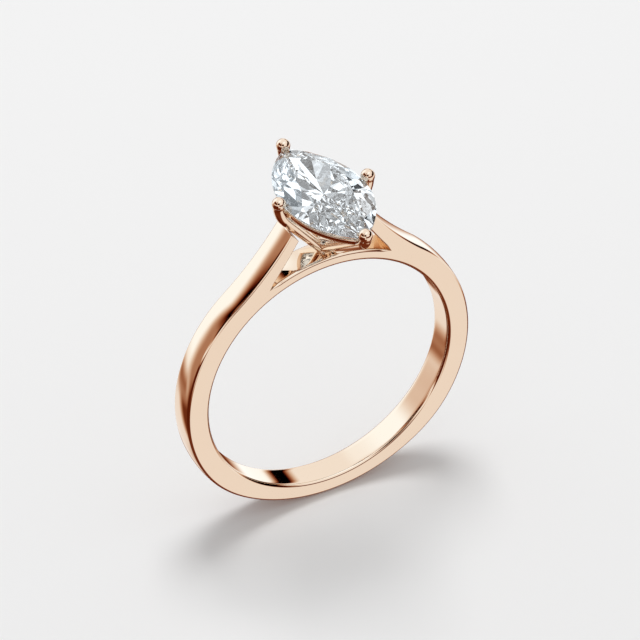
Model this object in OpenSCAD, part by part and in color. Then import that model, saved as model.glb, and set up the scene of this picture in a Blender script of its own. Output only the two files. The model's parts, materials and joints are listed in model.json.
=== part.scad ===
// Solitaire engagement ring: a marquise stone held by four claws over a plain
// band whose shoulders rise to the head, with a bridge that closes the finger hole.
// The finger hole's axis is Y, the head is up (+Z), the origin is the hole's centre.

/* [Finger hole and band] */
// Diameter of the finger hole
finger_d = 16.5; // [13:0.1:22]
// Width of the band along the finger
band_w = 1.9; // [1.5:0.05:3]
// Thickness of the band at its sides
side_t = 1.55; // [1.2:0.05:2.2]
// Thickness of the band at its bottom
bottom_t = 1.17; // [0.9:0.01:1.6]
// Comfort rounding of the finger hole's two edges
comfort_r = 0.25; // [0.1:0.01:0.4]
// How much flatter the bottom is than the sides, as extra radius
bottom_sweep = 0.8; // [0.5:0.1:3]

/* [Shoulders and bridge] */
// Width of a shoulder where it meets the head
shoulder_w = 1.85; // [1.2:0.05:1.85]
// Height of a shoulder's top end above the bridge
shoulder_rise = 2.57; // [2:0.01:2.8]
// Thickness of a shoulder at its top end
shoulder_t = 0.87; // [0.6:0.01:1.2]
// Hollow of a shoulder's outer face, in degrees past the straight tangent
outer_hollow = 7.2; // [4:0.1:10]
// Hollow of a shoulder's underside, in degrees past the straight tangent
under_hollow = 4.1; // [2:0.1:6]
// Thickness of the bridge under the head
bridge_t = 0.78; // [0.6:0.01:1.1]
// Bevel along the bridge's top edges
bridge_bevel = 0.24; // [0.1:0.01:0.4]

/* [Stone] */
// Length of the stone from point to point
stone_l = 9.96; // [8:0.05:12]
// Width of the stone
stone_w = 5.35; // [4.4:0.05:6.5]
// Height of the girdle's lower edge above the bridge
girdle_rise = 4.03; // [3.6:0.01:4.8]
// Thickness of the girdle
girdle_t = 0.12; // [0.06:0.01:0.25]
// Height of the crown
crown_h = 0.7; // [0.5:0.01:1]
// Slope of the crown
crown_slope = 34; // [28:1:40]
// Slope of the pavilion
pavilion_slope = 40.7; // [36:0.1:44]

/* [Claws] */
// Diameter of a claw's ball tip
tip_d = 0.86; // [0.7:0.01:1.1]
// Diameter of a claw's wire at the girdle
claw_d = 0.76; // [0.55:0.01:0.9]
// Diameter of a claw's wire where it leaves the collar
leg_d = 0.64; // [0.4:0.01:0.7]
// Height of a tip's centre above the girdle's lower edge
tip_rise = 0.31; // [0.2:0.01:0.6]
// How far above the girdle's lower edge a claw's wire turns upright
upright_rise = 0.2; // [0:0.01:0.24]
// How far a side claw's centre stands out from the stone's edge
side_claw_out = 0.29; // [0.15:0.01:0.34]
// How far an end claw's centre stands out from the stone's point
end_claw_out = 0.08; // [-0.1:0.01:0.3]
// Radius of a side claw's bend
side_bend_r = 1.9; // [0.8:0.05:2.2]
// Radius of an end claw's bend
end_bend_r = 0.75; // [0.5:0.05:1.2]

/* [Collar and gallery rails] */
// Diameter of the collar that the claws rise from
collar_d = 1; // [0.9:0.05:1.5]
// Height of the collar above the bridge
collar_h = 0.72; // [0.5:0.01:1]
// Height above the bridge at which the claws' centre lines start
claw_root_h = 0.27; // [0.2:0.01:0.4]
// Width of a gallery rail's section
rail_w = 0.5; // [0.35:0.01:0.7]
// Drop of a gallery rail's underside below the girdle
rail_drop = 0.7; // [0.6:0.01:1]
// How far the rails' outer face is set in from the stone's edge
rail_inset = 0.15; // [0.05:0.01:0.3]

/* [Hidden] */
$fn = 96;
// Steps in a full turn of the shoulders' wide arcs
fine = 900;
// How far the shoulders' outer faces end beyond the side claws' legs
shoulder_lap = 0.2;
gold = [0.91, 0.72, 0.6];
diamond = [0.92, 0.95, 0.98];
reach = 60;
// Lap and step where a claw's wire changes section
wire_lap = 0.06;
wire_step = 0.02;
// Turn of round shapes about their own axes, so that no seam lies in a mirror plane
seam_turn = 125;

bore_r = finger_d / 2;
side_r = bore_r + side_t;
bottom_r = bore_r + bottom_t;
bridge_r = bore_r + bridge_t;
sweep_r = side_r + bottom_sweep;

girdle_z = bridge_r + girdle_rise;
stone_half_l = stone_l / 2;
stone_half_w = stone_w / 2;
// Both sides of the stone are arcs of this radius, centred arc_x beyond the middle
arc_r = (stone_half_l * stone_half_l + stone_half_w * stone_half_w) / (2 * stone_half_w);
arc_x = arc_r - stone_half_w;

tip_z = girdle_z + tip_rise;
side_claw_x = stone_half_w + side_claw_out;
end_claw_y = stone_half_l + end_claw_out;
neck_l = tip_rise - upright_rise;
root_u = claw_root_h;
root_z = bridge_r + claw_root_h;
collar_top = bridge_r + collar_h;

function polar(r, a) = [r * cos(a), r * sin(a)];

// Height of the pavilion's surface at radius r from the axis of a side's arc
function pavilion_z(r) = girdle_z - (arc_r - r) * tan(pavilion_slope);

// Angle at which the straight tangent through point p touches a circle about the origin
function touch_angle(p, r) = atan2(p[1], p[0]) - acos(r / norm(p));

// Radius of the arc that leaves the circle of radius r at angle a and passes through p
function hollow_r(p, r, a) =
    let (d = p - polar(r, a))
    (d * d) / (2 * (d * polar(1, a)));

// Angle, seen from the origin, between the centre of a circle of radius r at distance d
// and the point where it crosses the circle of radius own_r about the origin
function meet_angle(own_r, d, r) = acos((own_r * own_r + d * d - r * r) / (2 * own_r * d));

// Direction of the leg that runs from the root into a bend of radius r below point top
function leg_slope(top, r) =
    let (d = [top[0] - r - root_u, top[1] - root_z])
    atan2(d[1], d[0]) - asin(r / norm(d));

// A claw's wire is upright from beside the stone's edge
side_top = [side_claw_x, girdle_z + upright_rise];
end_top = [end_claw_y, girdle_z + upright_rise];
side_slope = leg_slope(side_top, side_bend_r);

// The shoulders end on the side claws' legs, at their outer side
shoulder_top_z = bridge_r + shoulder_rise;
leg_x_at_top = root_u + (shoulder_top_z - root_z) / tan(side_slope);
shoulder_outer_end = [leg_x_at_top + leg_d / 2 + shoulder_lap, shoulder_top_z];
shoulder_under_end = shoulder_outer_end - polar(shoulder_t, side_slope);
outer_angle = touch_angle(shoulder_outer_end, side_r) + outer_hollow;
under_angle = touch_angle(shoulder_under_end, bore_r) + under_hollow;
outer_arc_r = hollow_r(shoulder_outer_end, side_r, outer_angle);
under_arc_r = hollow_r(shoulder_under_end, bore_r, under_angle);
// Where a shoulder's underside leaves the bridge's top, at the crotch of the fork
crotch_angle = under_angle + meet_angle(bridge_r, bore_r + under_arc_r, under_arc_r);

// A flat outline in the plane of the ring, given thickness along the finger
module across_finger(w) {
    rotate([90, 0, 0]) linear_extrude(height = w, center = true) children();
}

// The region above the finger hole between two lines at angle a from the horizontal
module upper_sector(a) {
    polygon([[0, 0], polar(reach, a), [0, reach], polar(reach, 180 - a)]);
}

// What the comfort rounding takes off both edges of the finger hole's wall
module comfort_cut() {
    rotate([90, 0, 0]) rotate_extrude() for (side = [0, 1]) mirror([0, side]) difference() {
        translate([bore_r - 1, band_w / 2 - comfort_r]) square(comfort_r + 1);
        translate([bore_r + comfort_r, band_w / 2 - comfort_r]) circle(r = comfort_r);
    }
}

// The hollow outside a shoulder, which the band's side circle runs into without a kink
module outer_hollow_disc() {
    translate(polar(side_r + outer_arc_r, outer_angle)) circle(r = outer_arc_r, $fn = fine);
}

// The root of the right shoulder, which grows out of the side circle
module shoulder_root() {
    root_reach = side_r + outer_arc_r;
    difference() {
        polygon([[0, 0], polar(root_reach, outer_angle), [0, root_reach]]);
        outer_hollow_disc();
    }
}

// The band's outline, up to the crotch of both forks
module shank_outline() {
    difference() {
        union() {
            intersection() {
                circle(r = side_r);
                translate([0, sweep_r - bottom_r]) circle(r = sweep_r);
            }
            for (side = [0, 1]) mirror([side, 0]) shoulder_root();
        }
        circle(r = bore_r);
        upper_sector(crotch_angle);
    }
}

module shank() {
    color(gold) difference() {
        across_finger(band_w) shank_outline();
        comfort_cut();
    }
}

// Outline of the right shoulder, from the crotch to the middle of the side claw's leg
module shoulder_outline() {
    leg_root = [root_u, root_z];
    difference() {
        intersection() {
            translate(polar(bore_r + under_arc_r, under_angle)) circle(r = under_arc_r, $fn = fine);
            polygon([
                polar(bore_r / 2, outer_angle), polar(reach, outer_angle),
                leg_root + polar(reach, side_slope), leg_root
            ]);
        }
        outer_hollow_disc();
        polygon([[0, 0], polar(reach, outer_angle - crotch_angle / 2), polar(reach, crotch_angle)]);
    }
}

// The taper of both shoulders, seen along X
module shoulder_taper() {
    root_z = side_r * sin(crotch_angle);
    rotate([90, 0, 90]) linear_extrude(height = 2 * side_r, center = true) polygon([
        [-band_w / 2, 0], [band_w / 2, 0], [band_w / 2, root_z], [shoulder_w / 2, shoulder_top_z],
        [shoulder_w / 2, tip_z], [-shoulder_w / 2, tip_z], [-shoulder_w / 2, shoulder_top_z],
        [-band_w / 2, root_z]
    ]);
}

module right_shoulder() {
    difference() {
        intersection() {
            across_finger(band_w) shoulder_outline();
            shoulder_taper();
        }
        wire(side_top, side_bend_r);
    }
}

module shoulder_right() {
    color(gold) right_shoulder();
}

module shoulder_left() {
    color(gold) mirror([1, 0, 0]) right_shoulder();
}

// The bridge closes the finger hole between the two shoulders
module bridge() {
    half_w = band_w / 2;
    section = [
        [bore_r, -half_w], [bridge_r - bridge_bevel, -half_w], [bridge_r, bridge_bevel - half_w],
        [bridge_r, half_w - bridge_bevel], [bridge_r - bridge_bevel, half_w], [bore_r, half_w]
    ];
    color(gold) difference() {
        rotate([90, 0, 0]) rotate([0, 0, crotch_angle])
            rotate_extrude(angle = 180 - 2 * crotch_angle) polygon(section);
        comfort_cut();
    }
}

// One claw's wire in the plane of X and Z: leg, bend and ball tip.
// The leg and the tip's neck run a little way into the bend
module wire(top, bend_r) {
    slope = leg_slope(top, bend_r);
    bend_start = top + [-bend_r, 0] + polar(bend_r, slope - 90);
    leg_l = norm(bend_start - [root_u, root_z]);
    neck_d = claw_d - 2 * wire_step;
    translate([root_u, 0, root_z]) rotate([0, 90 - slope, 0]) rotate([0, 0, seam_turn])
        cylinder(h = leg_l + wire_lap, d1 = leg_d, d2 = neck_d);
    translate([top[0] - bend_r, 0, top[1]]) rotate([90, 0, 0]) rotate([0, 0, slope - 90])
        rotate_extrude(angle = 90 - slope) translate([bend_r, 0]) rotate(seam_turn) circle(d = claw_d);
    translate([top[0], 0, top[1] - wire_lap]) rotate([0, 0, seam_turn])
        cylinder(h = neck_l + wire_lap, d1 = neck_d, d2 = claw_d);
    translate([top[0], 0, top[1] + neck_l]) rotate([0, 0, seam_turn]) sphere(d = tip_d);
}

// A claw turned to its place round the stone, notched to the stone's edge
module claw(turn, top, bend_r) {
    color(gold) difference() {
        rotate([0, 0, turn]) wire(top, bend_r);
        collar_body();
        stone_body();
    }
}

module claw_right() {
    claw(0, side_top, side_bend_r);
}

module claw_left() {
    claw(180, side_top, side_bend_r);
}

module claw_back() {
    claw(90, end_top, end_bend_r);
}

module claw_front() {
    claw(270, end_top, end_bend_r);
}

module collar_body() {
    cylinder(h = collar_top, d = collar_d);
}

module head_collar() {
    color(gold) difference() {
        collar_body();
        across_finger(2 * collar_d) circle(r = bridge_r);
    }
}

// The rail along one side of the stone: its top is the seat for the pavilion
module gallery_rail(turn) {
    outer_r = arc_r - rail_inset;
    inner_r = outer_r - rail_w;
    bottom_z = girdle_z - rail_drop;
    half_turn = acos(arc_x / inner_r);
    section = [
        [inner_r, bottom_z], [outer_r, bottom_z], [outer_r, pavilion_z(outer_r)],
        [inner_r, pavilion_z(inner_r)]
    ];
    color(gold) difference() {
        rotate([0, 0, turn]) translate([-arc_x, 0, 0]) rotate([0, 0, -half_turn])
            rotate_extrude(angle = 2 * half_turn) polygon(section);
        for (a = [0, 180]) rotate([0, 0, a]) wire(side_top, side_bend_r);
        for (a = [90, 270]) rotate([0, 0, a]) wire(end_top, end_bend_r);
    }
}

module gallery_rail_right() {
    gallery_rail(0);
}

module gallery_rail_left() {
    gallery_rail(180);
}

// Two equal lens shapes, turned about upright axes, meet in the marquise
module stone_body() {
    crown_in = crown_h / tan(crown_slope);
    crown_z = girdle_z + girdle_t;
    section = [
        [0, pavilion_z(0)], [arc_r, girdle_z], [arc_r, crown_z],
        [arc_r - crown_in, crown_z + crown_h], [0, crown_z + crown_h]
    ];
    intersection_for (side = [-1, 1]) translate([side * arc_x, 0, 0]) rotate([0, 0, seam_turn])
        rotate_extrude() polygon(section);
}

module stone() {
    color(diamond) stone_body();
}

shank();
shoulder_left();
shoulder_right();
bridge();
head_collar();
claw_left();
claw_right();
claw_front();
claw_back();
gallery_rail_left();
gallery_rail_right();
stone();
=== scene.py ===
"""Solitaire engagement ring: polished rose gold with a marquise stone in four claws."""
import json
import math
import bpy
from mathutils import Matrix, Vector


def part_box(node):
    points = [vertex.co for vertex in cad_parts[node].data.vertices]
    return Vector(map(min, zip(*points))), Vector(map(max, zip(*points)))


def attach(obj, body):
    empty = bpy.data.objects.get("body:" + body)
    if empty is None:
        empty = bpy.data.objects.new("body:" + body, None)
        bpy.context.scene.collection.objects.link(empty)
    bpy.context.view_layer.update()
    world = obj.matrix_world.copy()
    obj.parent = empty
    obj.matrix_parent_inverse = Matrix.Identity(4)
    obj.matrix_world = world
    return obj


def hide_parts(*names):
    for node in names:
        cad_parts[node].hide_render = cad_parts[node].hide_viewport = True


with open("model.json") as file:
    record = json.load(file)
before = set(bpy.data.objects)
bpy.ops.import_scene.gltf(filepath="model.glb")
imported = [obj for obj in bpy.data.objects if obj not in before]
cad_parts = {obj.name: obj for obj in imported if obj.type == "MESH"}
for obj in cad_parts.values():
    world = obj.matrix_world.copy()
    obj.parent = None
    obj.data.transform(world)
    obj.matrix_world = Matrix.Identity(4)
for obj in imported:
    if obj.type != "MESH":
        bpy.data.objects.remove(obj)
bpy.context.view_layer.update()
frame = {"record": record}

from types import SimpleNamespace

import bmesh
import bpy
from mathutils import Matrix, Vector

bl_info = {
    "name": "Marquise Solitaire Ring",
    "version": (1, 0, 0),
    "blender": (4, 5, 0),
    "location": "View3D > Sidebar > Ring",
    "description": "Builds a solitaire ring round its packed frame and stages it",
    "category": "Object",
}

MM = 0.001
BODY = "root"
METAL_SLOT = "rose_gold"
STONE_SLOT = "diamond"
# Steps round a rounded corner of a section, along its side and across its face
CORNER_STEPS = 8
SIDE_STEPS = 4
FACE_STEPS = 8
# Floor, in metres, and the key light above it
FLOOR_HALF = 1.5
KEY_SIZE = 0.16
KEY_PLACE = (0.05, 0.12, 0.38)


# Settings


def length(name, description, default, least):
    """A length as a setting, its default and least value in millimetres."""
    return bpy.props.FloatProperty(
        name=name, description=description, default=default * MM, min=least * MM,
        unit="LENGTH", precision=5)


class BandSettings(bpy.types.PropertyGroup):
    """Sizes of the band, its shoulders and the bridge."""

    arris_r: length("Arris", "Rounding of the band's outer edges", 0.2, 0.02)
    crown: length("Crown", "How far the outer face bulges across its width", 0.07, 0.0)
    sweep_blend: length(
        "Sweep blend", "Softness of the change from the sides to the flatter bottom", 0.15, 0.01)
    bottom_sweep: length(
        "Bottom sweep", "Extra radius of the flatter bottom over the sides", 0.8, 0.1)
    ring_step: bpy.props.FloatProperty(
        name="Step", description="Angle between two sections of the band",
        default=math.radians(1.25), min=math.radians(0.2), subtype="ANGLE")
    shoulder_rise: length(
        "Shoulder rise", "Height of a shoulder's top end above the bridge", 2.57, 1.0)
    shoulder_top_w: length("Shoulder width", "Width of a shoulder at its top end", 1.85, 0.5)
    shoulder_lap: length(
        "Shoulder lap", "How far a shoulder's outer face ends beyond the claw's leg", 0.2, 0.0)
    shoulder_t: length("Shoulder thickness", "Thickness of a shoulder at its top end", 0.87, 0.3)
    outer_hollow: bpy.props.FloatProperty(
        name="Outer hollow", description="Hollow of a shoulder's outer face past the straight tangent",
        default=math.radians(7.2), min=math.radians(1), subtype="ANGLE")
    under_hollow: bpy.props.FloatProperty(
        name="Under hollow", description="Hollow of a shoulder's underside past the straight tangent",
        default=math.radians(4.1), min=math.radians(1), subtype="ANGLE")
    under_arris: length("Under arris", "Rounding of a shoulder's lower edges", 0.12, 0.01)
    bridge_bevel: length("Bridge edge", "Rounding of the bridge's top edges", 0.22, 0.02)
    bevel_run: bpy.props.FloatProperty(
        name="Edge run-out", description="Angle over which an edge's rounding fades out at the crotch",
        default=math.radians(5), min=math.radians(0.5), subtype="ANGLE")
    gold: bpy.props.FloatVectorProperty(
        name="Gold", description="Colour of the polished rose gold",
        default=(0.9, 0.757, 0.612), min=0.0, max=1.0, size=3, subtype="COLOR")


class HeadSettings(bpy.types.PropertyGroup):
    """Sizes of the claws, the collar and the gallery rails."""

    root_h: length(
        "Root height", "Height above the bridge at which the claws' centre lines start", 0.27, 0.05)
    leg_d: length(
        "Leg diameter", "Diameter of a claw's wire where it leaves the collar", 0.64, 0.2)
    claw_d: length("Claw diameter", "Diameter of a claw's wire at the girdle", 0.76, 0.2)
    upright_rise: length(
        "Upright rise", "How far above the girdle's edge a claw's wire turns upright", 0.2, 0.0)
    side_bend_r: length("Side bend", "Radius of a side claw's bend", 1.9, 0.5)
    end_bend_r: length("End bend", "Radius of an end claw's bend", 0.75, 0.4)
    neck_blend: length(
        "Neck blend", "Softness of the change from a claw's wire to its ball", 0.045, 0.01)
    rail_w: length("Rail width", "Width of a gallery rail's section", 0.5, 0.2)
    rail_round: length(
        "Rail rounding", "Rounding of a gallery rail's outer lower edge", 0.22, 0.01)
    rail_lip: length("Rail lip", "Rounding of a gallery rail's edge by the stone", 0.12, 0.01)
    rail_arris: length("Rail edge", "Rounding of a gallery rail's inner edges", 0.06, 0.01)


class StoneSettings(bpy.types.PropertyGroup):
    """Proportions of the cut stone."""

    crown_h: length("Crown height", "Height from the girdle to the table", 0.7, 0.2)
    girdle_t: length("Girdle", "Thickness of the girdle", 0.12, 0.02)
    table: bpy.props.FloatProperty(
        name="Table", description="Size of the table as a share of the outline",
        default=0.56, min=0.3, max=0.8, subtype="FACTOR")
    star: bpy.props.FloatProperty(
        name="Star", description="Height at which the star facets end, as a share of the crown",
        default=0.55, min=0.2, max=0.9, subtype="FACTOR")
    lower_half: bpy.props.FloatProperty(
        name="Lower halves", description="Depth that the lower girdle facets reach, as a share",
        default=0.74, min=0.3, max=0.95, subtype="FACTOR")
    ior: bpy.props.FloatProperty(
        name="Refraction", description="Refractive index of the stone",
        default=2.42, min=1.3, max=3.0)


class StageSettings(bpy.types.PropertyGroup):
    """The floor, the light and the camera."""

    azimuth: bpy.props.FloatProperty(
        name="Azimuth", description="Angle of the camera to the left of the ring's axis",
        default=math.radians(28.54), subtype="ANGLE")
    elevation: bpy.props.FloatProperty(
        name="Elevation", description="Angle of the camera above the floor",
        default=math.radians(39.35), subtype="ANGLE")
    distance: bpy.props.FloatProperty(
        name="Distance", description="Distance of the camera from the finger hole's centre",
        default=220 * MM, min=50 * MM, unit="LENGTH")
    lens: bpy.props.FloatProperty(
        name="Lens", description="Focal length of the camera, in millimetres",
        default=203.0, min=20.0)
    aim_right: bpy.props.FloatProperty(
        name="Aim right", description="How far to the right of the hole's centre the camera aims",
        default=-0.216 * MM, unit="LENGTH", precision=5)
    aim_up: bpy.props.FloatProperty(
        name="Aim up", description="How far above the hole's centre the camera aims",
        default=2.817 * MM, unit="LENGTH", precision=5)
    floor: bpy.props.FloatVectorProperty(
        name="Floor", description="Colour of the floor",
        default=(0.89, 0.89, 0.89), min=0.0, max=1.0, size=3, subtype="COLOR")
    fill: bpy.props.FloatProperty(
        name="Fill", description="Strength of the even light on the floor",
        default=0.575, min=0.0)
    key: bpy.props.FloatProperty(
        name="Key", description="Power of the key light, in watts",
        default=0.7, min=0.0)


# Sizes that the pieces share


def flat_polar(radius, angle):
    """A point in the ring's plane, as (x, z)."""
    return Vector((radius * math.cos(angle), radius * math.sin(angle)))


def touch_angle(point, radius):
    """Angle at which the straight tangent through a point touches a circle about the origin."""
    return math.atan2(point.y, point.x) - math.acos(radius / point.length)


def hollow_radius(point, radius, angle):
    """Radius of the arc that leaves the circle of that radius at the angle and meets the point."""
    away = point - flat_polar(radius, angle)
    return away.length_squared / (2 * away.dot(flat_polar(1, angle)))


def leg_slope(top, bend_r, root):
    """Slope of the straight leg that runs from the root into a bend below the point top."""
    along = top - Vector((bend_r, 0)) - root
    return math.atan2(along.y, along.x) - math.asin(bend_r / along.length)


def ring_sizes():
    """Every shared size, read from the frame and the settings."""
    scene = bpy.context.scene
    band = scene.ring_band
    head = scene.ring_head
    cut = scene.ring_stone
    size = SimpleNamespace()
    hole = frame["record"]["mounts"][0]["dims"]
    shank_low, shank_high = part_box("shank")
    bridge_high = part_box("bridge")[1]
    collar_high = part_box("head_collar")[1]
    side_claw_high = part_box("claw_right")[1]
    end_claw_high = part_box("claw_back")[1]
    rail_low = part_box("gallery_rail_right")[0]
    rail_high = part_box("gallery_rail_right")[1]
    stone_low, stone_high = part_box("stone")

    size.bore_r = hole["r_mm"] * MM
    size.half_w = shank_high[1]
    size.comfort_r = size.half_w - hole["length_mm"] * MM / 2
    size.side_r = shank_high[0]
    size.floor_z = shank_low[2]
    size.bottom_r = -shank_low[2]
    size.bridge_r = bridge_high[2]
    size.crotch = math.acos(bridge_high[0] / size.bridge_r)

    size.table_z = stone_high[2]
    size.culet_z = stone_low[2]
    size.girdle_top = size.table_z - cut.crown_h
    size.girdle_low = size.girdle_top - cut.girdle_t
    size.stone_half_w = stone_high[0]
    size.stone_half_l = stone_high[1]
    square = size.stone_half_l ** 2 + size.stone_half_w ** 2
    size.arc_r = square / (2 * size.stone_half_w)
    size.arc_x = size.arc_r - size.stone_half_w

    size.collar_r = collar_high[0]
    size.collar_top = collar_high[2]
    size.tip_r = side_claw_high[1]
    size.tip_z = side_claw_high[2] - size.tip_r
    upright_z = size.girdle_low + head.upright_rise
    size.side_top = Vector((side_claw_high[0] - size.tip_r, upright_z))
    size.end_top = Vector((end_claw_high[1] - size.tip_r, upright_z))
    size.claw_root = Vector((head.root_h, size.bridge_r + head.root_h))
    size.side_slope = leg_slope(size.side_top, head.side_bend_r, size.claw_root)

    size.rail_low = rail_low[2]
    size.rail_outer_r = size.arc_x + rail_high[0]

    top_z = size.bridge_r + band.shoulder_rise
    leg_x = size.claw_root.x + (top_z - size.claw_root.y) / math.tan(size.side_slope)
    outer_end = Vector((leg_x + head.leg_d / 2 + band.shoulder_lap, top_z))
    under_end = outer_end - flat_polar(band.shoulder_t, size.side_slope)
    size.top_z = top_z
    size.shoulder_half_w = band.shoulder_top_w / 2
    outer_angle = touch_angle(outer_end, size.side_r) + band.outer_hollow
    under_angle = touch_angle(under_end, size.bore_r) + band.under_hollow
    size.outer_arc = hollow_arc(outer_end, size.side_r, outer_angle)
    size.under_arc = hollow_arc(under_end, size.bore_r, under_angle)
    return size


def hollow_arc(end, radius, angle):
    """The arc that leaves the circle of that radius at the angle and ends at the point."""
    arc = SimpleNamespace()
    arc.angle = angle
    arc.end = end
    arc.radius = hollow_radius(end, radius, angle)
    arc.centre = flat_polar(radius + arc.radius, angle)
    return arc


def reach_of_arc(arc, angle):
    """Distance from the origin to an arc's near side, along a line at that angle."""
    distance = arc.centre.length
    turn = angle - arc.angle
    return distance * math.cos(turn) - math.sqrt(arc.radius ** 2 - (distance * math.sin(turn)) ** 2)


# Mesh helpers


def new_piece(name, mesh, material, slot, *nodes):
    """Puts a mesh in the scene as a piece that rides on the ring and stands for CAD nodes."""
    piece = bpy.data.objects.new(name, mesh)
    bpy.context.scene.collection.objects.link(piece)
    mesh.materials.append(material)
    piece.visible_transmission = slot == STONE_SLOT
    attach(piece, BODY)
    if nodes:
        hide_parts(*nodes)
    return piece


def spread(start, end, steps):
    """Evenly spaced numbers from start to end, both included."""
    return [start + (end - start) * i / steps for i in range(steps + 1)]


def ease(share):
    """A share from 0 to 1 that starts and stops gently."""
    share = min(max(share, 0.0), 1.0)
    return share * share * (3 - 2 * share)


def soft_min(a, b, blend):
    """The smaller of two sizes, with the change from one to the other rounded off."""
    near = min(max(0.5 + 0.5 * (b - a) / blend, 0.0), 1.0)
    return b + (a - b) * near - blend * near * (1 - near)


def skin(name, rings):
    """A closed smooth surface through like rings of points, with a flat face at both ends."""
    count = len(rings[0])
    faces = []
    for row in range(len(rings) - 1):
        for i in range(count):
            j = (i + 1) % count
            low = row * count
            faces.append((low + i, low + j, low + count + j, low + count + i))
    last = (len(rings) - 1) * count
    faces.append(tuple(range(count)))
    faces.append(tuple(last + i for i in range(count)))
    mesh = bpy.data.meshes.new(name)
    mesh.from_pydata([point for ring in rings for point in ring], [], faces)
    shape = bmesh.new()
    shape.from_mesh(mesh)
    bmesh.ops.recalc_face_normals(shape, faces=shape.faces)
    shape.to_mesh(mesh)
    shape.free()
    mesh.shade_smooth()
    mesh.normals_split_custom_set_from_vertices(ring_normals(mesh, rings))
    return mesh


def ring_normals(mesh, rings):
    """Surface directions at the rings' points, steered by their longest neighbours."""
    count = len(rings[0])
    normals = []
    for row, ring in enumerate(rings):
        before = rings[max(row - 1, 0)]
        after = rings[min(row + 1, len(rings) - 1)]
        for i in range(count):
            along = after[i] - before[i]
            around = ring[(i + 1) % count] - ring[i - 1]
            normal = along.cross(around).normalized()
            facing = mesh.vertices[row * count + i].normal
            normals.append(normal if normal.dot(facing) >= 0 else -normal)
    return normals


def corner(centre, radius, start, end, steps):
    """Points of a rounded corner, as (height, width) pairs."""
    return [
        (centre[0] + radius * math.cos(a), centre[1] + radius * math.sin(a))
        for a in spread(start, end, steps)
    ]


def strap_section(low, high, half_w, low_round, high_round, crown):
    """Outline of a strap of metal between two heights, with a slightly crowned upper face.

    Each point is a (height, width) pair, and the widths are mirrored."""
    tilt = math.atan(2 * crown / (half_w - high_round))
    low_corner = corner(
        (low + low_round, half_w - low_round), low_round, math.pi, math.pi / 2, CORNER_STEPS)
    high_centre = high - crown - high_round * math.cos(tilt)
    high_corner = corner(
        (high_centre, half_w - high_round), high_round, math.pi / 2, tilt, CORNER_STEPS)
    edge_w = high_corner[-1][1]
    side_heights = spread(low_corner[-1][0], high_corner[0][0], SIDE_STEPS)[1:-1]
    side = [(h, half_w) for h in side_heights]
    face_widths = spread(edge_w, 0, FACE_STEPS)[1:-1]
    face = [(high - crown * (w / edge_w) ** 2, w) for w in face_widths]
    base = [(low, w) for w in spread(0, low_corner[0][1], SIDE_STEPS)[1:-1]]
    half = base + low_corner + side + high_corner + face
    mirrored = [(h, -w) for h, w in reversed(half)]
    return [(low, 0.0)] + half + [(high, 0.0)] + mirrored


def radial_ring(section, angle):
    """A section whose heights are distances from the finger hole's axis."""
    return [Vector((h * math.cos(angle), w, h * math.sin(angle))) for h, w in section]


def circle_ring(centre, radius, across, up, count):
    """A round ring of points about a centre."""
    turns = [2 * math.pi * i / count for i in range(count)]
    return [centre + radius * (across * math.cos(t) + up * math.sin(t)) for t in turns]


def mirrored_rings(rings):
    """The same rings on the other side of the ring's middle."""
    return [[Vector((-p.x, p.y, p.z)) for p in ring] for ring in rings]


# Shader groups and materials


def group_sockets(name, inputs, outputs):
    """A shader node group with its sockets, and its input and output nodes."""
    tree = bpy.data.node_groups.new(name, "ShaderNodeTree")
    for label, kind, value in inputs:
        socket = tree.interface.new_socket(label, in_out="INPUT", socket_type=kind)
        socket.default_value = value
    for label, kind in outputs:
        tree.interface.new_socket(label, in_out="OUTPUT", socket_type=kind)
    start = tree.nodes.new("NodeGroupInput")
    end = tree.nodes.new("NodeGroupOutput")
    return tree, start, end


def place_group(tree, group, values):
    """A shader group in a material, with its own values."""
    node = tree.nodes.new("ShaderNodeGroup")
    node.node_tree = group
    for label, value in values.items():
        node.inputs[label].default_value = value
    return node


def ranged(tree, value, low, high, to_low, to_high):
    """Maps a value from one range to another with a soft start and stop."""
    node = tree.nodes.new("ShaderNodeMapRange")
    node.interpolation_type = "SMOOTHSTEP"
    node.inputs["From Min"].default_value = low
    node.inputs["From Max"].default_value = high
    node.inputs["To Min"].default_value = to_low
    node.inputs["To Max"].default_value = to_high
    tree.links.new(value, node.inputs["Value"])
    return node.outputs["Result"]


def calc(tree, operation, first, second):
    """A math node between two values, each a socket or a number."""
    node = tree.nodes.new("ShaderNodeMath")
    node.operation = operation
    for socket, value in zip(node.inputs, (first, second)):
        if isinstance(value, bpy.types.NodeSocket):
            tree.links.new(value, socket)
        else:
            socket.default_value = value
    return node.outputs["Value"]


def noise(tree, position, scale, detail):
    """A noise value at a place."""
    node = tree.nodes.new("ShaderNodeTexNoise")
    node.inputs["Scale"].default_value = scale
    node.inputs["Detail"].default_value = detail
    tree.links.new(position, node.inputs["Vector"])
    return node.outputs["Fac"]


def blend_colors(tree, factor, first, second):
    """A colour mixed from two, each a socket or a colour."""
    node = tree.nodes.new("ShaderNodeMix")
    node.data_type = "RGBA"
    tree.links.new(factor, node.inputs["Factor"])
    for label, value in (("A", first), ("B", second)):
        socket = next(s for s in node.inputs if s.name == label and s.type == "RGBA")
        if isinstance(value, bpy.types.NodeSocket):
            tree.links.new(value, socket)
        else:
            socket.default_value = (*value[:3], 1.0)
    return next(s for s in node.outputs if s.type == "RGBA")


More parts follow.
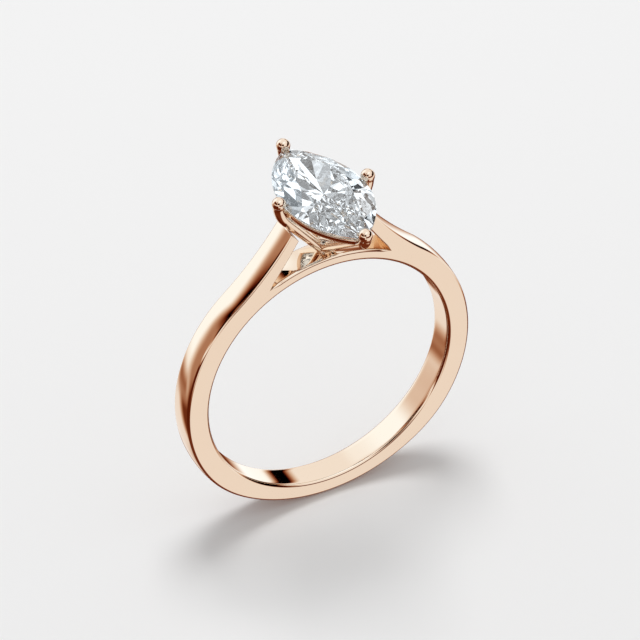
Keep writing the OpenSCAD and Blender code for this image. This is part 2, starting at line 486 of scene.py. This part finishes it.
def polish_group():
    """Buffed metal: faint hairlines, soft clouding and the tone that they give."""
    inputs = [
        ("Tone", "NodeSocketColor", (0.9, 0.65, 0.5, 1.0)),
        ("Smoothest", "NodeSocketFloat", 0.02),
        ("Clouding", "NodeSocketFloat", 0.03),
        ("Hairlines", "NodeSocketFloat", 0.05),
    ]
    outputs = [
        ("Color", "NodeSocketColor"), ("Roughness", "NodeSocketFloat"),
        ("Height", "NodeSocketFloat"),
    ]
    line_scale = (9000.0, 900.0, 9000.0)
    cloud_scale = 420.0
    warm_tone = (0.9, 0.62, 0.44)
    warm_share = 0.12
    tree, start, end = group_sockets("buffed_metal", inputs, outputs)
    place = tree.nodes.new("ShaderNodeTexCoord").outputs["Object"]
    stretch = tree.nodes.new("ShaderNodeMapping")
    stretch.inputs["Scale"].default_value = line_scale
    tree.links.new(place, stretch.inputs["Vector"])
    clouds = noise(tree, place, cloud_scale, 4.0)
    lines = noise(tree, stretch.outputs["Vector"], 1.0, 3.0)
    fine = ranged(tree, lines, 0.55, 0.75, 0.0, 1.0)
    cloudy = ranged(tree, clouds, 0.35, 0.7, 0.0, 1.0)
    haze = calc(tree, "MULTIPLY", cloudy, start.outputs["Clouding"])
    scratch = calc(tree, "MULTIPLY", fine, start.outputs["Hairlines"])
    rough = calc(tree, "ADD", calc(tree, "ADD", start.outputs["Smoothest"], haze), scratch)
    tree.links.new(rough, end.inputs["Roughness"])
    tree.links.new(fine, end.inputs["Height"])
    warmth = calc(tree, "MULTIPLY", clouds, warm_share)
    warmer = blend_colors(tree, warmth, start.outputs["Tone"], warm_tone)
    tree.links.new(warmer, end.inputs["Color"])
    return tree


def gold_material(name, group, smoothest, clouding, hairlines):
    """Mirror-polished rose gold with barely raised hairlines."""
    line_depth = 0.002 * MM
    line_strength = 0.03
    material = bpy.data.materials.new(name)
    material.use_nodes = True
    tree = material.node_tree
    shader = tree.nodes["Principled BSDF"]
    tone = (*bpy.context.scene.ring_band.gold, 1.0)
    values = {"Tone": tone, "Smoothest": smoothest, "Clouding": clouding, "Hairlines": hairlines}
    polish = place_group(tree, group, values)
    tree.links.new(polish.outputs["Color"], shader.inputs["Base Color"])
    tree.links.new(polish.outputs["Roughness"], shader.inputs["Roughness"])
    bump = tree.nodes.new("ShaderNodeBump")
    bump.inputs["Strength"].default_value = line_strength
    bump.inputs["Distance"].default_value = line_depth
    tree.links.new(polish.outputs["Height"], bump.inputs["Height"])
    tree.links.new(bump.outputs["Normal"], shader.inputs["Normal"])
    shader.inputs["Metallic"].default_value = 1.0
    return material


def stone_material():
    """Clear cut stone with a finely ground girdle and a breath of blue."""
    girdle_roughness = 0.25
    cloud_scale = 300.0
    cool = (0.97, 0.985, 1.0)
    clear = (1.0, 1.0, 1.0)
    material = bpy.data.materials.new("cut_stone")
    material.use_nodes = True
    tree = material.node_tree
    shader = tree.nodes["Principled BSDF"]
    shader.inputs["IOR"].default_value = bpy.context.scene.ring_stone.ior
    shader.inputs["Transmission Weight"].default_value = 1.0
    facing = tree.nodes.new("ShaderNodeNewGeometry").outputs["True Normal"]
    parts = tree.nodes.new("ShaderNodeSeparateXYZ")
    tree.links.new(facing, parts.inputs["Vector"])
    upright = calc(tree, "ABSOLUTE", parts.outputs["Z"], 0.0)
    girdle = ranged(tree, upright, 0.02, 0.08, 1.0, 0.0)
    ground = calc(tree, "MULTIPLY", girdle, girdle_roughness)
    tree.links.new(ground, shader.inputs["Roughness"])
    place = tree.nodes.new("ShaderNodeTexCoord").outputs["Object"]
    clouds = noise(tree, place, cloud_scale, 2.0)
    tint = blend_colors(tree, clouds, cool, clear)
    tree.links.new(tint, shader.inputs["Base Color"])
    return material


def material_named(name, make):
    """A material by name, made the first time that it is asked for."""
    return bpy.data.materials.get(name) or make()


def shared_gold(name, smoothest, clouding, hairlines):
    """A gold of that finish, with the shader group that both golds use."""
    group = bpy.data.node_groups.get("buffed_metal") or polish_group()
    return material_named(
        name, lambda: gold_material(name, group, smoothest, clouding, hairlines))


def band_gold():
    """The gold of the band, its shoulders and the bridge."""
    return shared_gold("band_gold", smoothest=0.02, clouding=0.03, hairlines=0.03)


def head_gold():
    """The gold of the hand-finished head."""
    return shared_gold("head_gold", smoothest=0.03, clouding=0.05, hairlines=0.04)


# Band, shoulders and bridge


def band_reach(size, angle):
    """Distance from the hole's axis to the band's outer face, at an angle from one side."""
    band = bpy.context.scene.ring_band
    if angle > size.outer_arc.angle:
        return reach_of_arc(size.outer_arc, angle)
    sweep_r = size.side_r + band.bottom_sweep
    lift = sweep_r - size.bottom_r
    sweep = lift * math.sin(angle) + math.sqrt(sweep_r ** 2 - (lift * math.cos(angle)) ** 2)
    if angle > 0:
        return size.side_r
    return soft_min(size.side_r, sweep, band.sweep_blend)


class RING_OT_shank(bpy.types.Operator):
    """Sweeps the comfort-edged band round the finger, up to both forks"""

    bl_idname = "ring.shank"
    bl_label = "Shank"

    def execute(self, context):
        size = ring_sizes()
        band = context.scene.ring_band
        span = math.pi + 2 * size.crotch
        steps = math.ceil(span / band.ring_step)
        rings = []
        for turn in spread(size.crotch, size.crotch - span, steps):
            side_angle = turn if turn > -math.pi / 2 else -math.pi - turn
            high = band_reach(size, side_angle)
            section = strap_section(
                size.bore_r, high, size.half_w, size.comfort_r, band.arris_r, band.crown)
            rings.append(radial_ring(section, turn))
        mesh = skin("shank_polished", rings)
        new_piece("shank_polished", mesh, band_gold(), METAL_SLOT, "shank")
        return {"FINISHED"}


def shoulder_rings(size, band):
    """Sections of the right shoulder, from the crotch of its fork to the side claw.

    The lower edges start sharp at the crotch and reach their rounding after the run."""
    steps = 40
    run = 0.16
    sharp = 0.04
    outer = size.outer_arc
    under = size.under_arc
    outer_start = flat_polar(reach_of_arc(outer, size.crotch), size.crotch) - outer.centre
    under_start = flat_polar(size.bridge_r, size.crotch) - under.centre
    outer_end = outer.end - outer.centre
    under_end = under.end - under.centre
    outer_from = math.atan2(outer_start.y, outer_start.x) % (2 * math.pi)
    outer_to = math.atan2(outer_end.y, outer_end.x) % (2 * math.pi)
    under_from = math.atan2(under_start.y, under_start.x) % (2 * math.pi)
    under_to = math.atan2(under_end.y, under_end.x) % (2 * math.pi)
    root_z = size.side_r * math.sin(size.crotch)
    rings = []
    for share in spread(0.0, 1.0, steps):
        outer_turn = outer_from + (outer_to - outer_from) * share
        under_turn = under_from + (under_to - under_from) * share
        high = outer.centre + flat_polar(outer.radius, outer_turn)
        low = under.centre + flat_polar(under.radius, under_turn)
        rise = high - low
        thick = rise.length
        rise.normalize()
        middle_z = (high.y + low.y) / 2
        taper = ease((middle_z - root_z) / (size.top_z - root_z))
        half_w = size.half_w - taper * (size.half_w - size.shoulder_half_w)
        under_round = band.under_arris * (sharp + (1 - sharp) * ease(share / run))
        section = strap_section(0.0, thick, half_w, under_round, band.arris_r, band.crown)
        rings.append([
            Vector((low.x + rise.x * h, w, low.y + rise.y * h)) for h, w in section
        ])
    return rings


class RING_OT_shoulders(bpy.types.Operator):
    """Sweeps both cathedral shoulders from their forks up to the side claws"""

    bl_idname = "ring.shoulders"
    bl_label = "Shoulders"

    def execute(self, context):
        size = ring_sizes()
        right = shoulder_rings(size, context.scene.ring_band)
        for side, rings in (("right", right), ("left", mirrored_rings(right))):
            name = "shoulder_%s_polished" % side
            new_piece(name, skin(name, rings), band_gold(), METAL_SLOT, "shoulder_" + side)
        return {"FINISHED"}


class RING_OT_bridge(bpy.types.Operator):
    """Sweeps the bridge that closes the finger hole under the head"""

    bl_idname = "ring.bridge"
    bl_label = "Bridge"

    def execute(self, context):
        size = ring_sizes()
        band = context.scene.ring_band
        crown = 0.02 * MM
        sharp = 0.03
        span = math.pi - 2 * size.crotch
        steps = math.ceil(span / band.ring_step) * 2
        rings = []
        for turn in spread(size.crotch, size.crotch + span, steps):
            from_end = min(turn - size.crotch, size.crotch + span - turn)
            edge = band.bridge_bevel * (sharp + (1 - sharp) * ease(from_end / band.bevel_run))
            section = strap_section(
                size.bore_r, size.bridge_r, size.half_w, size.comfort_r, edge, crown)
            rings.append(radial_ring(section, turn))
        mesh = skin("bridge_polished", rings)
        new_piece("bridge_polished", mesh, band_gold(), METAL_SLOT, "bridge")
        return {"FINISHED"}


# Head


class RING_OT_collar(bpy.types.Operator):
    """Turns the small collar that joins the claws to the bridge"""

    bl_idname = "ring.collar"
    bl_label = "Collar"

    def execute(self, context):
        size = ring_sizes()
        sunk = 0.02 * MM
        lip = 0.1 * MM
        neck = 0.9
        waist = 0.12
        around = 64
        r = size.collar_r
        low = size.bridge_r - sunk
        high = size.collar_top
        neck_h = high - low - 2.5 * lip
        profile = [(r * 0.98, low), (r, low + lip / 2), (r * 0.96, low + lip)]
        for share in spread(0.0, 1.0, 10):
            narrow = r * (neck - waist * math.sin(math.pi * share))
            profile.append((narrow, low + lip + share * neck_h))
        for turn in spread(-math.pi / 3, math.pi / 2, CORNER_STEPS):
            profile.append((r - lip + lip * math.cos(turn), high - lip + lip * math.sin(turn)))
        across = Vector((1, 0, 0))
        depth = Vector((0, 1, 0))
        rings = [
            circle_ring(Vector((0, 0, z)), radius, across, depth, around)
            for radius, z in profile
        ]
        mesh = skin("collar_polished", rings)
        new_piece("collar_polished", mesh, head_gold(), METAL_SLOT, "head_collar")
        return {"FINISHED"}


def claw_course(size, head, top, bend_r):
    """Centre line of a claw in its own plane, with the wire's radius at each point."""
    ball_start = math.radians(50)
    ball_end = math.radians(179)
    root = size.claw_root
    slope = leg_slope(top, bend_r, root)
    bend_centre = top - Vector((bend_r, 0))
    bend_start = bend_centre + flat_polar(bend_r, slope - math.pi / 2)
    leg = bend_start - root
    course = []
    for share in spread(0.0, 1.0, 16)[:-1]:
        radius = (head.leg_d + (head.claw_d - head.leg_d) * ease(share)) / 2
        course.append((root + leg * share, radius))
    for turn in spread(slope - math.pi / 2, 0.0, 18)[:-1]:
        course.append((bend_centre + flat_polar(bend_r, turn), head.claw_d / 2))
    ball_low = size.tip_z - size.tip_r * math.cos(ball_start)
    for z in spread(top.y, ball_low, 4)[:-1]:
        course.append((Vector((top.x, z)), neck_radius(size, head, z)))
    for turn in spread(ball_start, ball_end, 20):
        z = size.tip_z - size.tip_r * math.cos(turn)
        course.append((Vector((top.x, z)), neck_radius(size, head, z)))
    return course


def neck_radius(size, head, z):
    """Radius of a claw at a height, where its wire swells into the ball."""
    smallest = 0.004 * MM
    off = min(abs(z - size.tip_z), size.tip_r)
    ball = math.sqrt(size.tip_r ** 2 - off ** 2)
    if z > size.tip_z:
        return max(ball, smallest)
    return -soft_min(-head.claw_d / 2, -ball, head.neck_blend)


def claw_rings(course, turn):
    """Round sections along a claw's centre line, turned to its place round the stone."""
    around = 40
    outward = Vector((math.cos(turn), math.sin(turn), 0))
    sideways = Vector((-math.sin(turn), math.cos(turn), 0))
    up = Vector((0, 0, 1))
    rings = []
    for i, (point, radius) in enumerate(course):
        before = course[max(i - 1, 0)][0]
        after = course[min(i + 1, len(course) - 1)][0]
        along = (after - before).normalized()
        along = outward * along.x + up * along.y
        centre = outward * point.x + up * point.y
        rings.append(circle_ring(centre, radius, sideways, along.cross(sideways), around))
    return rings


class RING_OT_claws(bpy.types.Operator):
    """Draws the four ball-tipped claws that rise from the collar round the stone"""

    bl_idname = "ring.claws"
    bl_label = "Claws"

    def execute(self, context):
        size = ring_sizes()
        head = context.scene.ring_head
        places = {
            "right": (0, size.side_top, head.side_bend_r),
            "back": (90, size.end_top, head.end_bend_r),
            "left": (180, size.side_top, head.side_bend_r),
            "front": (270, size.end_top, head.end_bend_r),
        }
        for side, (turn, top, bend_r) in places.items():
            course = claw_course(size, head, top, bend_r)
            name = "claw_%s_polished" % side
            mesh = skin(name, claw_rings(course, math.radians(turn)))
            new_piece(name, mesh, head_gold(), METAL_SLOT, "claw_" + side)
        return {"FINISHED"}


def rounded_outline(points, radii, steps):
    """A convex outline with its corners rounded, each to its own radius."""
    outline = []
    count = len(points)
    for i, (point, radius) in enumerate(zip(points, radii)):
        to_last = (points[i - 1] - point).normalized()
        to_next = (points[(i + 1) % count] - point).normalized()
        half = to_last.angle(to_next) / 2
        run = radius / math.tan(half)
        centre = point + (to_last + to_next).normalized() * (radius / math.sin(half))
        first = (point + to_last * run - centre).normalized()
        second = (point + to_next * run - centre).normalized()
        for share in spread(0.0, 1.0, steps):
            outline.append(centre + first.slerp(second, share) * radius)
    return outline


class RING_OT_gallery(bpy.types.Operator):
    """Bends both gallery rails under the stone's long sides"""

    bl_idname = "ring.gallery"
    bl_label = "Gallery rails"

    def execute(self, context):
        size = ring_sizes()
        head = context.scene.ring_head
        outer = size.rail_outer_r
        inner = outer - head.rail_w
        slope = (size.girdle_low - size.culet_z) / size.stone_half_w
        seat = [size.girdle_low - (size.arc_r - r) * slope for r in (outer, inner)]
        corners = [
            Vector((inner, size.rail_low)), Vector((outer, size.rail_low)),
            Vector((outer, seat[0])), Vector((inner, seat[1])),
        ]
        radii = (head.rail_arris, head.rail_round, head.rail_lip, head.rail_arris)
        section = rounded_outline(corners, radii, CORNER_STEPS)
        half_turn = math.acos(size.arc_x / inner)
        steps = 72
        right = []
        for turn in spread(-half_turn, half_turn, steps):
            right.append([
                Vector((p.x * math.cos(turn) - size.arc_x, p.x * math.sin(turn), p.y))
                for p in section
            ])
        for side, rings in (("right", right), ("left", mirrored_rings(right))):
            name = "gallery_rail_%s_polished" % side
            mesh = skin(name, rings)
            new_piece(name, mesh, head_gold(), METAL_SLOT, "gallery_rail_" + side)
        return {"FINISHED"}


# Stone


def girdle_point(size, step):
    """One of the sixteen facet corners round the stone's edge, with its outward direction."""
    tip_turn = math.atan2(size.stone_half_l, size.arc_x)
    step = step % 16
    if step in (4, 12):
        side = 1 if step == 4 else -1
        return Vector((0, side * size.stone_half_l)), Vector((0, side))
    if 4 < step < 12:
        turn = tip_turn * (8 - step) / 4
        out = Vector((-math.cos(turn), math.sin(turn)))
        return Vector((size.arc_x, 0)) + out * size.arc_r, out
    turn = tip_turn * (step if step < 4 else step - 16) / 4
    out = Vector((math.cos(turn), math.sin(turn)))
    return Vector((-size.arc_x, 0)) + out * size.arc_r, out


def plane_through(a, b, c, middle):
    """A plane through three points of the stone, facing away from its middle."""
    normal = (b - a).cross(c - a).normalized()
    return (a, normal) if normal.dot(a - middle) > 0 else (a, -normal)


def meeting_point(first, second, z):
    """Where two planes meet at a height."""
    rows = Matrix(((first[1].x, first[1].y), (second[1].x, second[1].y)))
    sums = Vector([
        plane[1].dot(plane[0]) - plane[1].z * z for plane in (first, second)
    ])
    flat = rows.inverted() @ sums
    return Vector((flat.x, flat.y, z))


def half_of_stone(size, rim_z, mains, meet_z, middle):
    """Facet planes on one side of the girdle, and the points where its mains meet."""
    planes = list(mains)
    meets = []
    for k in range(8):
        meet = meeting_point(mains[k], mains[(k + 1) % 8], meet_z)
        meets.append(meet)
        rim = [girdle_point(size, 2 * k + i)[0] / MM for i in range(3)]
        rim = [Vector((p.x, p.y, rim_z)) for p in rim]
        planes.append(plane_through(rim[0], rim[1], meet, middle))
        planes.append(plane_through(rim[1], rim[2], meet, middle))
    return planes, meets


def stone_planes(size, cut):
    """All the facet planes of a marquise brilliant, in millimetres."""
    top = size.girdle_top / MM
    low = size.girdle_low / MM
    table = size.table_z / MM
    culet = size.culet_z / MM
    middle = Vector((0, 0, top))
    crown_mains = []
    pavilion_mains = []
    table_points = []
    for k in range(8):
        flat, out = girdle_point(size, 2 * k)
        flat = flat / MM
        inner = flat * cut.table
        drop = table - top
        run = out.dot(flat - inner)
        normal = Vector((out.x * drop, out.y * drop, run)).normalized()
        crown_mains.append((Vector((flat.x, flat.y, top)), normal))
        table_points.append(Vector((inner.x, inner.y, table)))
        depth = low - culet
        normal = Vector((out.x * depth, out.y * depth, -out.dot(flat))).normalized()
        pavilion_mains.append((Vector((flat.x, flat.y, low)), normal))
    meet_z = top + cut.star * (table - top)
    crown, meets = half_of_stone(size, top, crown_mains, meet_z, middle)
    for k in range(8):
        ends = (table_points[k], table_points[(k + 1) % 8])
        crown.append(plane_through(*ends, meets[k], middle))
    meet_z = low - cut.lower_half * (low - culet)
    pavilion = half_of_stone(size, low, pavilion_mains, meet_z, middle)[0]
    return crown + pavilion


def stone_mesh(size, cut):
    """Cuts the stone from an upright blank, one facet plane at a time, in millimetres."""
    steps = 48
    spare = 1
    cut_tolerance = 1e-5
    weld = 1e-4
    tip_turn = math.atan2(size.stone_half_l, size.arc_x)
    outline = []
    for turn in spread(-tip_turn, tip_turn, steps)[:-1]:
        across = size.arc_r * math.cos(turn) - size.arc_x
        outline.append(Vector((across, size.arc_r * math.sin(turn))))
    outline += [-p for p in outline]
    shape = bmesh.new()
    low = [shape.verts.new((p.x / MM, p.y / MM, size.culet_z / MM - spare)) for p in outline]
    high = [shape.verts.new((p.x / MM, p.y / MM, size.table_z / MM)) for p in outline]
    count = len(outline)
    for i in range(count):
        j = (i + 1) % count
        shape.faces.new((low[i], low[j], high[j], high[i]))
    shape.faces.new(list(reversed(low)))
    shape.faces.new(high)
    for point, normal in stone_planes(size, cut):
        whole = shape.verts[:] + shape.edges[:] + shape.faces[:]
        found = bmesh.ops.bisect_plane(
            shape, geom=whole, dist=cut_tolerance, plane_co=point, plane_no=normal,
            clear_outer=True)
        edges = [e for e in found["geom_cut"] if isinstance(e, bmesh.types.BMEdge)]
        rim = [e for e in edges if e.is_boundary]
        if rim:
            bmesh.ops.contextual_create(shape, geom=rim)
    bmesh.ops.remove_doubles(shape, verts=shape.verts, dist=weld)
    bmesh.ops.recalc_face_normals(shape, faces=shape.faces)
    bmesh.ops.scale(shape, vec=(MM, MM, MM), verts=shape.verts)
    mesh = bpy.data.meshes.new("stone_faceted")
    shape.to_mesh(mesh)
    shape.free()
    return mesh


class RING_OT_stone(bpy.types.Operator):
    """Cuts the marquise stone with its table, crown, girdle and pavilion facets"""

    bl_idname = "ring.stone"
    bl_label = "Stone"

    def execute(self, context):
        mesh = stone_mesh(ring_sizes(), context.scene.ring_stone)
        material = material_named("cut_stone", stone_material)
        new_piece("stone_faceted", mesh, material, STONE_SLOT, "stone")
        return {"FINISHED"}


# Stage


# The room that polished metal mirrors: its plain brightness, low and high, then the cards and
# flags that stand in it. Each later row covers the ones before it.
ROOM_LOW = 0.88
ROOM_HIGH = 0.98
CARDS = (
    # azimuth, half width, elevation, half height, edge softness (degrees), brightness
    (0, 200, -62, 36, 8, 0.06),
    (299, 34, -38, 18, 8, 0.9),
    (190, 45, -22, 24, 5, 0.03),
    (84, 18, -12, 10, 5, 0.08),
    (100, 25, -40, 14, 8, 0.9),
    (285, 38, 4, 11, 5, 0.03),
    (112, 27, 18, 30, 7, 1.2),
    (176, 37, 30, 15, 9, 0.0),
    (150, 12, 2, 20, 9, 0.3),
    (128, 13, -23, 5, 5, 0.2),
    (44, 11, -8, 11, 4, 1.2),
    (44, 9, 14, 8, 4, 0.0),
    (352, 36, 12, 17, 5, 0.0),
    (238, 20, 36, 14, 4, 0.0),
    (196, 9, 58, 9, 4, 0.0),
    (300, 60, 74, 12, 9, 1.25),
)
# Powers of the room's brightness for red, green and blue, which turn its shadows brown
WARMTH = (0.65, 1.2, 1.6)


def build_room(tree, level, height):
    """Brightness of the room that polished metal mirrors: pale, with windows and dark flags."""
    room = ranged(tree, height, math.radians(-60), math.radians(10), ROOM_LOW, ROOM_HIGH)
    for azimuth, half_w, elevation, half_h, soft, bright in CARDS:
        turned = calc(tree, "WRAP", calc(tree, "SUBTRACT", level, math.radians(azimuth)), math.pi)
        turned.node.inputs[2].default_value = -math.pi
        across = calc(tree, "ABSOLUTE", turned, 0.0)
        raised = calc(tree, "SUBTRACT", height, math.radians(elevation))
        above = calc(tree, "ABSOLUTE", raised, 0.0)
        reaches = [(math.radians(half - soft), math.radians(half + soft)) for half in (half_w, half_h)]
        wide = ranged(tree, across, *reaches[0], 1.0, 0.0)
        tall = ranged(tree, above, *reaches[1], 1.0, 0.0)
        mask = calc(tree, "MULTIPLY", wide, tall)
        change = calc(tree, "MULTIPLY", mask, calc(tree, "SUBTRACT", bright, room))
        room = calc(tree, "ADD", room, change)
    warm = tree.nodes.new("ShaderNodeCombineColor")
    for channel, power in zip(warm.inputs, WARMTH):
        tree.links.new(calc(tree, "POWER", room, power), channel)
    return warm.outputs["Color"]


def build_sparkle(tree, way):
    """What the stone gathers from all round: small panes from white to grey, and a few black."""
    pane_scale = 7.0
    tint = (0.88, 0.95, 1.0)
    panes = tree.nodes.new("ShaderNodeTexVoronoi")
    panes.inputs["Scale"].default_value = pane_scale
    tree.links.new(way, panes.inputs["Vector"])
    split = tree.nodes.new("ShaderNodeSeparateColor")
    tree.links.new(panes.outputs["Color"], split.inputs["Color"])
    ramp = tree.nodes.new("ShaderNodeValToRGB")
    ramp.color_ramp.interpolation = "CONSTANT"
    tones = ((0.0, 0.0), (0.15, 0.06), (0.31, 0.2), (0.46, 0.5), (0.6, 0.95), (0.76, 1.6))
    while len(ramp.color_ramp.elements) < len(tones):
        ramp.color_ramp.elements.new(0.5)
    for element, (place, tone) in zip(ramp.color_ramp.elements, tones):
        element.position = place
        element.color = (*(tone * part for part in tint), 1.0)
    tree.links.new(split.outputs["Red"], ramp.inputs["Fac"])
    return ramp.outputs["Color"]


def build_world(stage):
    """Even light for the floor, a room for polished metal and bright panes for the stone."""
    world = bpy.data.worlds.new("studio")
    bpy.context.scene.world = world
    world.use_nodes = True
    tree = world.node_tree
    way = tree.nodes.new("ShaderNodeTexCoord").outputs["Generated"]
    parts = tree.nodes.new("ShaderNodeSeparateXYZ")
    tree.links.new(way, parts.inputs["Vector"])
    level = calc(tree, "ARCTAN2", parts.outputs["Y"], parts.outputs["X"])
    height = calc(tree, "ARCSINE", parts.outputs["Z"], 0.0)
    ray = tree.nodes.new("ShaderNodeLightPath")
    seen = build_room(tree, level, height)
    seen = blend_colors(tree, ray.outputs["Is Transmission Ray"], seen, build_sparkle(tree, way))
    seen = blend_colors(tree, ray.outputs["Is Diffuse Ray"], seen, [stage.fill] * 3)
    seen = blend_colors(tree, ray.outputs["Is Camera Ray"], seen, stage.floor)
    tree.links.new(seen, tree.nodes["Background"].inputs["Color"])


def floor_material(stage):
    """Matt pale paper that is seen only from above."""
    material = bpy.data.materials.new("pale_paper")
    material.use_nodes = True
    tree = material.node_tree
    shader = tree.nodes["Principled BSDF"]
    shader.inputs["Roughness"].default_value = 1.0
    shader.inputs["Specular IOR Level"].default_value = 0.0
    shader.inputs["Base Color"].default_value = (*stage.floor, 1.0)
    clear = tree.nodes.new("ShaderNodeBsdfTransparent")
    behind = tree.nodes.new("ShaderNodeNewGeometry")
    mix = tree.nodes.new("ShaderNodeMixShader")
    tree.links.new(behind.outputs["Backfacing"], mix.inputs["Fac"])
    tree.links.new(shader.outputs["BSDF"], mix.inputs[1])
    tree.links.new(clear.outputs["BSDF"], mix.inputs[2])
    tree.links.new(mix.outputs["Shader"], tree.nodes["Material Output"].inputs["Surface"])
    return material


class RING_OT_stage(bpy.types.Operator):
    """Lays the pale floor, lights it softly and sets the camera"""

    bl_idname = "ring.stage"
    bl_label = "Stage"

    def execute(self, context):
        size = ring_sizes()
        stage = context.scene.ring_stage
        mesh = bpy.data.meshes.new("floor")
        signs = ((-1, -1), (1, -1), (1, 1), (-1, 1))
        corners = [(x * FLOOR_HALF, y * FLOOR_HALF, size.floor_z) for x, y in signs]
        mesh.from_pydata(corners, [], [(0, 1, 2, 3)])
        mesh.materials.append(floor_material(stage))
        floor = bpy.data.objects.new("floor", mesh)
        context.scene.collection.objects.link(floor)
        floor.visible_glossy = False
        floor.visible_transmission = False
        build_world(stage)
        self.add_key(context, stage)
        self.add_camera(context, stage)
        context.scene.view_settings.view_transform = "Standard"
        context.scene.cycles.max_bounces = 24
        context.scene.cycles.glossy_bounces = 20
        context.scene.cycles.transmission_bounces = 20
        return {"FINISHED"}

    def add_key(self, context, stage):
        """A large soft light overhead, a little behind the ring and to its right."""
        light = bpy.data.lights.new("key", "AREA")
        light.energy = stage.key
        light.size = KEY_SIZE
        lamp = bpy.data.objects.new("key", light)
        place = Vector(KEY_PLACE)
        lamp.location = place
        lamp.rotation_euler = place.to_track_quat("Z", "Y").to_euler()
        lamp.visible_glossy = False
        lamp.visible_transmission = False
        context.scene.collection.objects.link(lamp)

    def add_camera(self, context, stage):
        """A long lens from the front left, above the ring."""
        level = math.cos(stage.elevation)
        away = Vector((
            -math.sin(stage.azimuth) * level, -math.cos(stage.azimuth) * level,
            math.sin(stage.elevation)))
        right = Vector((math.cos(stage.azimuth), -math.sin(stage.azimuth), 0))
        up = away.cross(right)
        place = away * stage.distance
        target = right * stage.aim_right + up * stage.aim_up
        lens = bpy.data.cameras.new("camera")
        lens.lens = stage.lens
        lens.sensor_width = 36.0
        lens.clip_start = 0.01
        camera = bpy.data.objects.new("camera", lens)
        camera.location = place
        camera.rotation_euler = (place - target).to_track_quat("Z", "Y").to_euler()
        context.scene.collection.objects.link(camera)
        context.scene.camera = camera


# Panel and registration


BUILD_ORDER = ("stage", "shank", "shoulders", "bridge", "collar", "claws", "gallery", "stone")


class RING_PT_workbench(bpy.types.Panel):
    """Lists the ring's pieces and their settings"""

    bl_idname = "RING_PT_workbench"
    bl_label = "Solitaire Ring"
    bl_space_type = "VIEW_3D"
    bl_region_type = "UI"
    bl_category = "Ring"

    def draw(self, context):
        layout = self.layout
        for step in BUILD_ORDER:
            layout.operator("ring." + step)
        for group in SETTINGS:
            settings = getattr(context.scene, group)
            for name in settings.bl_rna.properties.keys():
                if name not in ("rna_type", "name"):
                    layout.prop(settings, name)


SETTINGS = {
    "ring_band": BandSettings,
    "ring_head": HeadSettings,
    "ring_stone": StoneSettings,
    "ring_stage": StageSettings,
}
CLASSES = (
    BandSettings, HeadSettings, StoneSettings, StageSettings,
    RING_OT_stage, RING_OT_shank, RING_OT_shoulders, RING_OT_bridge,
    RING_OT_collar, RING_OT_claws, RING_OT_gallery, RING_OT_stone,
    RING_PT_workbench,
)


def register():
    for cls in CLASSES:
        bpy.utils.register_class(cls)
    for name, group in SETTINGS.items():
        setattr(bpy.types.Scene, name, bpy.props.PointerProperty(type=group))


def unregister():
    for name in SETTINGS:
        delattr(bpy.types.Scene, name)
    for cls in reversed(CLASSES):
        bpy.utils.unregister_class(cls)


def main():
    """Builds the ring on its stage."""
    register()
    for step in BUILD_ORDER:
        getattr(bpy.ops.ring, step)()


if __name__ == "__main__":
    main()
